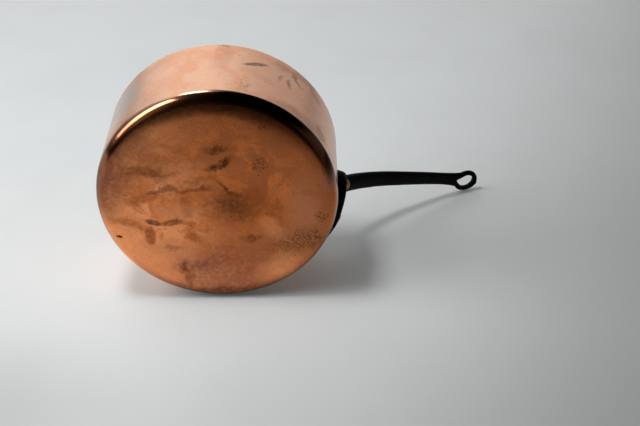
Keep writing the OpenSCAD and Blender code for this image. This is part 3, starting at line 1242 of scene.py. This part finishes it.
@dataclass
class Handle:
    """One iron casting: plate on the wall, upswept shank, flat eye.

    The shank's centre line is two curves that meet at bend_share of its run and rise, and
    each of its four ends is pulled straight for a length in pulls. width_share and
    depth_share give the section's size at shares of its run.
    """

    pan_radius: float
    end_x: float
    plate: float = 7.8 * MM
    face_flatness: float = 1.3
    edge_round: float = 4.2 * MM
    root_z: float = 81.0 * MM
    end_z: float = 176.0 * MM
    root_slope: float = 50.0
    mid_slope: float = 30.0
    end_slope: float = 12.0
    shank_width: float = 17.5 * MM
    shank_depth: float = 12.0 * MM
    eye_radius: float = 12.0 * MM
    hole_radius: float = 7.4 * MM
    hole_point: float = 11.8 * MM
    plug_reach: float = 9.0 * MM
    tip_round: float = 0.05 * MM
    oblong: float = 2.6
    voxel: float = 0.55 * MM
    smooth_share: float = 0.5
    smooth_rounds: int = 6
    plate_middle: float = 54.0 * MM
    root_inset: float = 4.0 * MM
    face_rings: int = 24
    edge_rings: int = 9
    side_rings: int = 8
    back_rings: int = 16
    lobe_steps: int = 48
    curve_steps: int = 70
    section_steps: int = 56
    lobes: tuple[Lobe, ...] = (
        Lobe(0.0, 48.0 * MM, 24.0 * MM),
        Lobe(20.7 * MM, 45.0 * MM, 16.3 * MM),
        Lobe(0.0, 74.0 * MM, 13.0 * MM),
        Lobe(-20.7 * MM, 45.0 * MM, 16.3 * MM),
    )
    width_share: tuple[tuple[float, float], ...] = (
        (0, 1), (0.05, 0.975), (0.23, 0.945), (0.49, 0.84),
        (0.74, 0.75), (0.82, 0.8), (0.88, 0.95), (1, 0.95))
    depth_share: tuple[tuple[float, float], ...] = (
        (0, 1), (0.13, 0.86), (0.3, 0.67), (0.62, 0.54), (0.88, 0.45), (1, 0.4))
    bend_share: tuple[float, float] = (0.38, 0.503)
    pulls: tuple[float, float, float, float] = (20.0 * MM, 26.7 * MM, 31.2 * MM, 25.9 * MM)

    @property
    def root_x(self) -> float:
        """Start of the shank, inside the plate."""
        return self.pan_radius + self.root_inset

    @property
    def eye_tilt(self) -> float:
        """Tilt of the flat eye, in radians."""
        return math.radians(self.end_slope + 2.0)

    @property
    def eye_middle(self) -> np.ndarray:
        """Middle of the eye."""
        along = np.array([math.cos(self.eye_tilt), 0.0, math.sin(self.eye_tilt)])
        return np.array([self.end_x, 0.0, self.end_z]) - self.eye_radius * along

    def face_x(self, across: np.ndarray) -> np.ndarray:
        """Distance out to the plate's curved face, at a distance across it."""
        radius = self.pan_radius * self.face_flatness
        return self.pan_radius + self.plate - radius + np.sqrt(radius ** 2 - across ** 2)

    def outline(self, steps: int) -> np.ndarray:
        """Outline of the plate: arcs of its lobes, joined by the lines that touch them.

        The arc of a lobe runs between the directions of its two touching lines: for lobes p
        and q that is the angle from p to q less arccos((radius p - radius q) / distance).

        Args:
            steps: Points on each arc.

        Returns:
            Points (across, up), once round.
        """
        count = len(self.lobes)

        def touch(p: Lobe, q: Lobe) -> float:
            """Direction, seen from both middles, in which the line meets their arcs."""
            gap = math.hypot(q.across - p.across, q.up - p.up)
            lean = math.acos((p.radius - q.radius) / gap)
            return math.atan2(q.up - p.up, q.across - p.across) - lean

        stretches = []
        for index, lobe in enumerate(self.lobes):
            start = touch(self.lobes[index - 1], lobe)
            sweep = (touch(lobe, self.lobes[(index + 1) % count]) - start) % TURN
            stretches.append(arc(
                (lobe.across, lobe.up), lobe.radius,
                math.degrees(start), math.degrees(start + sweep), steps))
        rough = np.concatenate(stretches)
        closed = np.concatenate([rough, rough[:1]])
        length = np.concatenate([[0.0], np.cumsum(np.linalg.norm(np.diff(closed, axis=0), axis=1))])
        even = np.linspace(0.0, length[-1], 4 * steps, endpoint=False)
        return np.stack([np.interp(even, length, closed[:, k]) for k in (0, 1)], axis=-1)

    def plate_mesh(self) -> bpy.types.Mesh:
        """Plate bent round the wall, with a rounded outer edge.

        Each ring is the outline drawn in towards the middle by an inset, at a depth below
        the curved face; the last rings lie on the wall.

        Returns:
            The closed mesh.
        """
        ring = self.outline(self.lobe_steps)
        middle = np.array([0.0, self.plate_middle])
        spoke = ring - middle
        reach = np.linalg.norm(spoke, axis=1)
        bend = np.linspace(0.0, math.pi / 2, self.edge_rings)
        rows = []
        for share in np.linspace(0.0, 1.0, self.face_rings):
            flat = middle + spoke * (share * (reach - self.edge_round) / reach)[:, None]
            rows.append(np.stack([self.face_x(flat[:, 0]), flat[:, 0], flat[:, 1]], axis=-1))
        for angle in bend[1:]:
            inset = self.edge_round * (1.0 - math.sin(angle))
            flat = middle + spoke * ((reach - inset) / reach)[:, None]
            depth = self.edge_round * (1.0 - math.cos(angle))
            rows.append(np.stack([self.face_x(flat[:, 0]) - depth, flat[:, 0], flat[:, 1]], axis=-1))
        edge = rows[-1]
        wall = np.sqrt(self.pan_radius ** 2 - edge[:, 1] ** 2)
        for share in np.linspace(0.0, 1.0, self.side_rings)[1:]:
            row = edge.copy()
            row[:, 0] = (1.0 - share) * edge[:, 0] + share * wall
            rows.append(row)
        for share in np.linspace(1.0, 0.0, self.back_rings)[1:]:
            flat = middle + spoke * share
            rows.append(np.stack(
                [np.sqrt(self.pan_radius ** 2 - flat[:, 0] ** 2), flat[:, 0], flat[:, 1]], axis=-1))
        return closed_mesh("plate", np.stack(rows))

    def centre_line(self, steps: int) -> tuple[np.ndarray, np.ndarray]:
        """Middle of the shank: two joined cubic curves, as (x, z), and its unit directions.

        Args:
            steps: Points on each curve.

        Returns:
            Points and directions.
        """
        start = np.array([self.root_x, self.root_z])
        end = np.array([self.end_x, self.end_z])
        middle = start + np.array(self.bend_share) * (end - start)
        slopes = np.radians([self.root_slope, self.mid_slope, self.mid_slope, self.end_slope])
        pulls = np.array(self.pulls)[:, None] * np.stack([np.cos(slopes), np.sin(slopes)], axis=-1)
        curves = (
            (start, start + pulls[0], middle - pulls[1], middle),
            (middle, middle + pulls[2], end - pulls[3], end))
        ease = np.sin(np.linspace(0.0, math.pi / 2, 2 * steps))
        stations = (np.linspace(0.0, 1.0, steps, endpoint=False), ease)
        points, directions = [], []
        for (a, b, c, d), share in zip(curves, stations):
            t = share[:, None]
            points.append(
                (1 - t) ** 3 * a + 3 * (1 - t) ** 2 * t * b + 3 * (1 - t) * t * t * c + t ** 3 * d)
            along = (1 - t) ** 2 * (b - a) + 2 * (1 - t) * t * (c - b) + t * t * (d - c)
            directions.append(along / np.linalg.norm(along, axis=1)[:, None])
        return np.concatenate(points), np.concatenate(directions)

    def shank_mesh(self) -> bpy.types.Mesh:
        """Shank: a rounded oblong carried along the centre line, round at its far end.

        A section's points are (|cos a| ** k across, |sin a| ** k deep) with their signs,
        and k = 2 / oblong. Beyond the eye's middle the width follows its circle.

        Returns:
            The closed mesh.
        """
        middle, along = self.centre_line(self.curve_steps)
        share = (middle[:, 0] - self.root_x) / (self.end_x - self.root_x)
        width = self.shank_width / 2 * np.interp(share, *np.array(self.width_share).T)
        depth = self.shank_depth / 2 * np.interp(share, *np.array(self.depth_share).T)
        from_eye = (middle[:, 0] - self.eye_middle[0]) / math.cos(self.eye_tilt)
        disc = np.sqrt(np.maximum(self.eye_radius ** 2 - from_eye ** 2, self.tip_round ** 2))
        width = np.where(from_eye > 0.0, disc, np.maximum(width, disc))
        angle = np.linspace(0.0, TURN, self.section_steps, endpoint=False)
        power = 2.0 / self.oblong
        across = np.sign(np.cos(angle)) * np.abs(np.cos(angle)) ** power
        deep = np.sign(np.sin(angle)) * np.abs(np.sin(angle)) ** power
        rise = depth[:, None] * deep
        points = np.stack([
            middle[:, :1] - along[:, 1:] * rise,
            width[:, None] * across,
            middle[:, 1:] + along[:, :1] * rise], axis=-1)
        caps = [np.broadcast_to(points[k].mean(axis=0), points[k].shape)[None] for k in (0, -1)]
        points = np.concatenate([caps[0], points, caps[1]])
        return closed_mesh("shank", points)

    def hole_mesh(self) -> bpy.types.Mesh:
        """Teardrop plug that cuts the eye: an arc closed by two lines to a point.

        Returns:
            The closed mesh.
        """
        side = math.degrees(math.acos(self.hole_radius / self.hole_point))
        round_part = arc((0.0, 0.0), self.hole_radius, 180.0 + side, 540.0 - side, 40)
        point = np.array([[-self.hole_point, 0.0]])
        ring = np.concatenate([point, round_part])
        along = np.array([math.cos(self.eye_tilt), 0.0, math.sin(self.eye_tilt)])
        out = np.array([-math.sin(self.eye_tilt), 0.0, math.cos(self.eye_tilt)])
        side_way = np.array([0.0, 1.0, 0.0])
        flat = self.eye_middle + ring[:, :1] * along + ring[:, 1:] * side_way
        lift = self.plug_reach * out
        rows = [
            np.broadcast_to(self.eye_middle - lift, flat.shape), flat - lift,
            flat + lift, np.broadcast_to(self.eye_middle + lift, flat.shape)]
        return closed_mesh("eye_hole", np.stack(rows))

    def casting(self) -> bpy.types.Mesh:
        """Run plate and shank together into one casting with softened edges.

        Returns:
            The mesh: the joined shapes remeshed evenly, then smoothed a little.
        """
        shank = new_piece("shank_draft", self.shank_mesh())
        hole = new_piece("hole_draft", self.hole_mesh())
        plate = new_piece("plate_draft", self.plate_mesh())
        cut = shank.modifiers.new("eye", "BOOLEAN")
        cut.operation = "DIFFERENCE"
        cut.solver = "EXACT"
        cut.object = hole
        join = shank.modifiers.new("plate", "BOOLEAN")
        join.operation = "UNION"
        join.solver = "EXACT"
        join.object = plate
        even = shank.modifiers.new("even", "REMESH")
        even.mode = "VOXEL"
        even.voxel_size = self.voxel
        even.use_smooth_shade = True
        soft = shank.modifiers.new("soft", "SMOOTH")
        soft.factor = self.smooth_share
        soft.iterations = self.smooth_rounds
        graph = bpy.context.evaluated_depsgraph_get()
        mesh = bpy.data.meshes.new_from_object(shank.evaluated_get(graph))
        mesh.name = "cast_handle"
        for draft in (shank, hole, plate):
            old = draft.data
            bpy.data.objects.remove(draft)
            bpy.data.meshes.remove(old)
        mesh.materials.clear()
        weld_and_orient(mesh)
        return mesh

    def build(self) -> bpy.types.Object:
        """Build, dress and place the handle.

        Returns:
            The piece.
        """
        piece = new_piece("cast_handle", self.casting(), BlackIron().make())
        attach(piece, "root")
        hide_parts("handle")
        return piece


# --------------------------------------------------------------------------
# The rivets
# --------------------------------------------------------------------------

@dataclass
class Rivet:
    """A copper rivet through plate and wall: hammered dome outside, flat head inside."""

    node: str
    azimuth: float
    height: float
    seat: float
    inner_seat: float
    finish: bpy.types.Material
    shaft: float = 2.5 * MM
    head: float = 5.2 * MM
    dome: float = 3.8 * MM
    dome_edge: float = 0.7 * MM
    seat_depth: float = 0.2 * MM
    skirt_low: float = 0.1 * MM
    skirt_high: float = 0.35 * MM
    inner_head: float = 5.5 * MM
    inner_depth: float = 1.8 * MM
    inner_round: float = 1.2 * MM
    inner_crown: float = 0.12 * MM
    inner_flat: float = 1.6 * MM
    inner_wall: float = 1.3 * MM
    steps_round: int = 40

    def profile(self) -> np.ndarray:
        """Half section along the rivet's axis, from the inner head to the top of the dome.

        The dome's edge rolls over a small arc into a larger one.

        Returns:
            Points (radius, distance from the pan's axis).
        """
        inner = self.inner_seat - self.inner_depth
        rise = self.dome - self.dome_edge
        ball = (self.head ** 2 + rise ** 2) / (2.0 * rise)
        reach = math.degrees(math.asin(self.head / ball))
        top = self.seat + self.seat_depth + self.dome
        dome = arc((0.0, top - ball), ball, 90.0 - reach + 6.0, 90.0, 22)
        return np.concatenate([
            line((0.0, inner), (self.inner_head - self.inner_flat, inner + self.inner_crown), 6),
            arc((self.inner_head - self.inner_round, inner + self.inner_round),
                self.inner_round, -80.0, 0.0, 8),
            line((self.inner_head, inner + self.inner_wall), (self.inner_head, self.inner_seat), 3),
            line((self.shaft, self.inner_seat), (self.shaft, self.seat), 4),
            line((self.head, self.seat - self.skirt_low), (self.head, self.seat + self.skirt_high), 3),
            dome])

    def build(self) -> bpy.types.Object:
        """Build, dress and place the rivet.

        The profile is turned round its own axis, which points out along the pan's radius.
        The heads' radius swells and shrinks by up to a thirtieth, two and three times round,
        as a hammered head's does.

        Returns:
            The piece.
        """
        profile = self.profile()
        local, quads = revolve(profile, self.steps_round)
        angle = np.linspace(0.0, TURN, self.steps_round, endpoint=False)[None, :]
        wobble = 1.0 + 0.02 * np.sin(2 * angle + self.height * 900) + 0.015 * np.sin(3 * angle + 1.3)
        local[..., :2] *= np.where(profile[:, :1] > self.shaft, wobble, 1.0)[..., None]
        outward = np.array([math.cos(self.azimuth), math.sin(self.azimuth), 0.0])
        sideways = np.array([-math.sin(self.azimuth), math.cos(self.azimuth), 0.0])
        upward = np.array([0.0, 0.0, 1.0])
        placed = (local[..., :1] * sideways + local[..., 1:2] * upward + local[..., 2:] * outward
                  + self.height * upward)
        piece = new_piece(self.node + "_head", mesh_from_arrays(self.node, placed, quads), self.finish)
        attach(piece, "root")
        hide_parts(self.node)
        return piece


@dataclass
class Rivets:
    """The three rivets: two beside the shank's root, one below them."""

    cup: Cup
    handle: Handle
    azimuth: float = math.radians(13.5)
    high: float = 49.0 * MM
    low: float = 36.0 * MM
    low_dome: float = 2.4 * MM
    press: float = 0.03 * MM

    def seat_at(self, azimuth: float) -> float:
        """Distance from the pan's axis to the plate's face, less the shallow seat."""
        radius = self.handle.pan_radius * self.handle.face_flatness
        centre = self.handle.pan_radius + self.handle.plate - radius
        out = centre * math.cos(azimuth) + math.sqrt(radius ** 2 - (centre * math.sin(azimuth)) ** 2)
        return out - Rivet.seat_depth

    def build(self) -> list[bpy.types.Object]:
        """Build all three.

        Returns:
            The pieces.
        """
        finish = RivetCopper(self.cup.lined_radius).make()
        places = (
            ("rivet_low", 0.0, self.low, self.low_dome),
            ("rivet_left", self.azimuth, self.high, Rivet.dome),
            ("rivet_right", -self.azimuth, self.high, Rivet.dome))
        inner = math.sqrt(self.cup.lined_radius ** 2 - Rivet.inner_head ** 2) - self.press
        return [Rivet(node, azimuth, height, self.seat_at(azimuth), inner, finish, dome=dome).build()
                for node, azimuth, height, dome in places]


# --------------------------------------------------------------------------
# Floor, light and camera
# --------------------------------------------------------------------------

@dataclass(frozen=True)
class SoftBox:
    """One area light: where it is as the pan lies, what it faces, its size and its power."""

    name: str
    place: Place
    target: Place
    size: tuple[float, float]
    power: float
    colour: Colour = (1.0, 1.0, 1.0)
    diffuse: bool = True
    glossy: bool = True
    shadow: bool = True
    spread: float = 180.0

    def build(self, not_shelf: bpy.types.Collection) -> None:
        """Add the light.

        Args:
            not_shelf: Collection that leaves out the floor that this light doesn't reach.
        """
        data = bpy.data.lights.new(self.name, "AREA")
        data.shape = "RECTANGLE"
        data.size, data.size_y = self.size
        data.energy = self.power
        data.color = self.colour
        data.spread = math.radians(self.spread)
        lamp = bpy.data.objects.new(self.name, data)
        bpy.context.scene.collection.objects.link(lamp)
        place = Vector(LYING.place(*self.place))
        toward = Vector(LYING.place(*self.target)) - place
        lamp.location = place
        lamp.rotation_euler = toward.to_track_quat("-Z", "Y").to_euler()
        lamp.visible_camera = False
        lamp.visible_diffuse = self.diffuse
        lamp.visible_glossy = self.glossy
        data.use_shadow = self.shadow
        lamp.light_linking.receiver_collection = not_shelf


@dataclass
class Studio:
    """Pale floor, soft light and the camera.

    The camera's place is in pan radii. The floor's corners are in metres right of the
    pan's axis and beyond its base.
    """

    pan_radius: float
    lens: float = 63.48
    sensor: float = 36.0
    clip: tuple[float, float] = (0.01, 50.0)
    camera_right: float = 0.736
    camera_up: float = 5.130
    camera_front: float = 7.743
    tilt: float = math.radians(34.035)
    yaw: float = math.radians(0.834)
    roll: float = math.radians(0.387)
    floor_gap: float = 0.1 * MM
    floor_sides: tuple[float, float] = (-3.0, 3.5)
    floor_ends: tuple[float, float] = (-0.37, 4.5)
    shelf_gap: float = 0.3 * MM
    shelf_half: float = 3.0
    shelf_power: float = 7.0
    shelf_softness: float = math.radians(50.0)
    room_grey: float = 0.74
    room_floor: float = 0.012
    lights: tuple[SoftBox, ...] = (
        SoftBox("overhead", (-0.25, 1.00, -0.03), (0.0, -0.1, 0.0), (0.22, 0.22), 4.3, glossy=False),
        SoftBox(
            "overhead_shine", (-0.29, 0.93, 0.48), (0.0, 0.1, 0.0), (0.34, 0.30), 1.1, diffuse=False),
        SoftBox("window", (-1.17, 0.80, -0.22), (0.0, 0.0, 0.0), (1.25, 0.66), 10.0, (0.98, 0.99, 1.0)),
        SoftBox(
            "far_wash", (-0.25, 1.00, 1.35), (-0.20, -0.1, 1.25), (0.9, 0.7), 5.0,
            glossy=False, shadow=False),
        SoftBox(
            "near_wash", (0.05, 0.22, -0.09), (0.05, -0.10, -0.09), (0.26, 0.10), 0.028,
            glossy=False, shadow=False, spread=65.0),
    )

    def camera(self) -> None:
        """Add the camera, looking down along the pan's axis from in front of its base."""
        data = bpy.data.cameras.new("camera")
        data.lens = self.lens
        data.sensor_width = self.sensor
        data.clip_start, data.clip_end = self.clip
        eye = bpy.data.objects.new("camera", data)
        bpy.context.scene.collection.objects.link(eye)
        level = math.cos(self.yaw) * LYING.away + math.sin(self.yaw) * LYING.right
        forward = math.cos(self.tilt) * level - math.sin(self.tilt) * LYING.up
        flat_right = math.cos(self.yaw) * LYING.right - math.sin(self.yaw) * LYING.away
        flat_up = np.cross(-forward, flat_right)
        right = math.cos(self.roll) * flat_right + math.sin(self.roll) * flat_up
        upward = np.cross(-forward, right)
        turn = Matrix(np.stack([right, upward, -forward], axis=1).tolist()).to_4x4()
        r = self.pan_radius
        place = LYING.place(self.camera_right * r, self.camera_up * r, -self.camera_front * r)
        eye.matrix_world = Matrix.Translation(Vector(place)) @ turn
        bpy.context.scene.camera = eye

    def floor(self) -> None:
        """Add the floor that the lying pan touches with its wall and its handle's end."""
        down = -self.pan_radius - self.floor_gap
        (left, right), (near, far) = self.floor_sides, self.floor_ends
        corners = np.array([
            LYING.place(side, down, end)
            for side, end in ((left, near), (right, near), (right, far), (left, far))])
        mesh = bpy.data.meshes.new("floor")
        mesh.from_pydata(corners.tolist(), [], [(0, 1, 2, 3)])
        mesh.update()
        if Vector(mesh.polygons[0].normal).dot(Vector(LYING.up)) < 0.0:
            mesh.flip_normals()
        floor = new_piece("floor", mesh, PalePaper().make("pale_floor", True))
        floor.visible_shadow = False

    def shelf(self) -> bpy.types.Collection:
        """Add the level floor that the upright pan stands on, seen only from above.

        A broad light straight overhead lights this floor alone, so that it is evenly pale.

        Returns:
            A collection that leaves this floor out, for the other lights.
        """
        half = self.shelf_half
        corners = [(-half, -half), (half, -half), (half, half), (-half, half)]
        mesh = bpy.data.meshes.new("shelf")
        mesh.from_pydata([(x, y, -self.shelf_gap) for x, y in corners], [], [(0, 1, 2, 3)])
        mesh.update()
        shelf = new_piece("shelf", mesh, PalePaper().make("pale_shelf", False))
        for way in ("visible_diffuse", "visible_glossy", "visible_transmission", "visible_shadow"):
            setattr(shelf, way, False)
        only_shelf = bpy.data.collections.new("only_shelf")
        only_shelf.objects.link(shelf)
        data = bpy.data.lights.new("shelf_light", "SUN")
        data.energy = self.shelf_power
        data.angle = self.shelf_softness
        lamp = bpy.data.objects.new("shelf_light", data)
        bpy.context.scene.collection.objects.link(lamp)
        lamp.light_linking.receiver_collection = only_shelf
        not_shelf = bpy.data.collections.new("not_shelf")
        not_shelf.objects.link(shelf)
        not_shelf.collection_objects[0].light_linking.link_state = "EXCLUDE"
        return not_shelf

    def surroundings(self) -> None:
        """Light of the room by direction.

        The far wall is pale and dims to both sides, the left wall is faint, and a low patch
        of the right wall glows; the rest is nearly dark. The camera itself sees plain pale
        grey beyond the floors.
        """
        world = bpy.data.worlds.new("room")
        bpy.context.scene.world = world
        room = Recipe(world, Coords.DIRECTION)
        right = room.along(LYING.right)
        up = room.along(LYING.up)
        away = room.along(LYING.away)
        far_wall = away.fade(0.10, 0.50) * up.fade(-0.12, 0.0) * (up + right * 0.9).fade(0.98, 0.80)
        far_wall = far_wall * (0.95 - right.fade(-0.20, 0.60) * 0.40)
        far_wall = far_wall * (right.fade(-0.74, -0.46) * 0.65 + 0.35)
        left_wall = right.fade(-0.30, -0.80) * up.fade(-0.05, 0.15) * 0.20
        right_wall = right.fade(0.50, 0.90) * up.fade(0.42, 0.20) * away.fade(0.42, 0.22) * 0.50
        glow = far_wall.higher(left_wall) + right_wall + self.room_floor
        seen = Num(room, room.node("ShaderNodeLightPath").outputs["Is Camera Ray"])
        strength = glow * (1.0 - seen) + seen * self.room_grey
        light = room.node(
            "ShaderNodeBackground", {}, {"Color": (0.985, 1.0, 1.0), "Strength": strength})
        room.node("ShaderNodeOutputWorld", {}, {"Surface": light.outputs[0]})

    def build(self) -> None:
        """Set the stage."""
        self.camera()
        self.floor()
        not_shelf = self.shelf()
        self.surroundings()
        for light in self.lights:
            light.build(not_shelf)
        bpy.context.scene.view_settings.view_transform = "Standard"
        log.info("stage set with %d lights", len(self.lights))


def main() -> None:
    """Build every piece in order, and log each piece's face count."""
    logging.basicConfig(level=logging.INFO, format="%(name)s: %(message)s")
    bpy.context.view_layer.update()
    low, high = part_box("copper_pan")
    radius = (high[0] - low[0]) / 2
    cup = Cup(radius, high[2])
    handle = Handle(radius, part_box("handle")[1][0] - END_GAP)
    Studio(radius).build()
    pieces = [*cup.build(), handle.build(), *Rivets(cup, handle).build()]
    for piece in pieces:
        log.info("%s: %d faces", piece.name, len(piece.data.polygons))


if __name__ == "__main__":
    main()
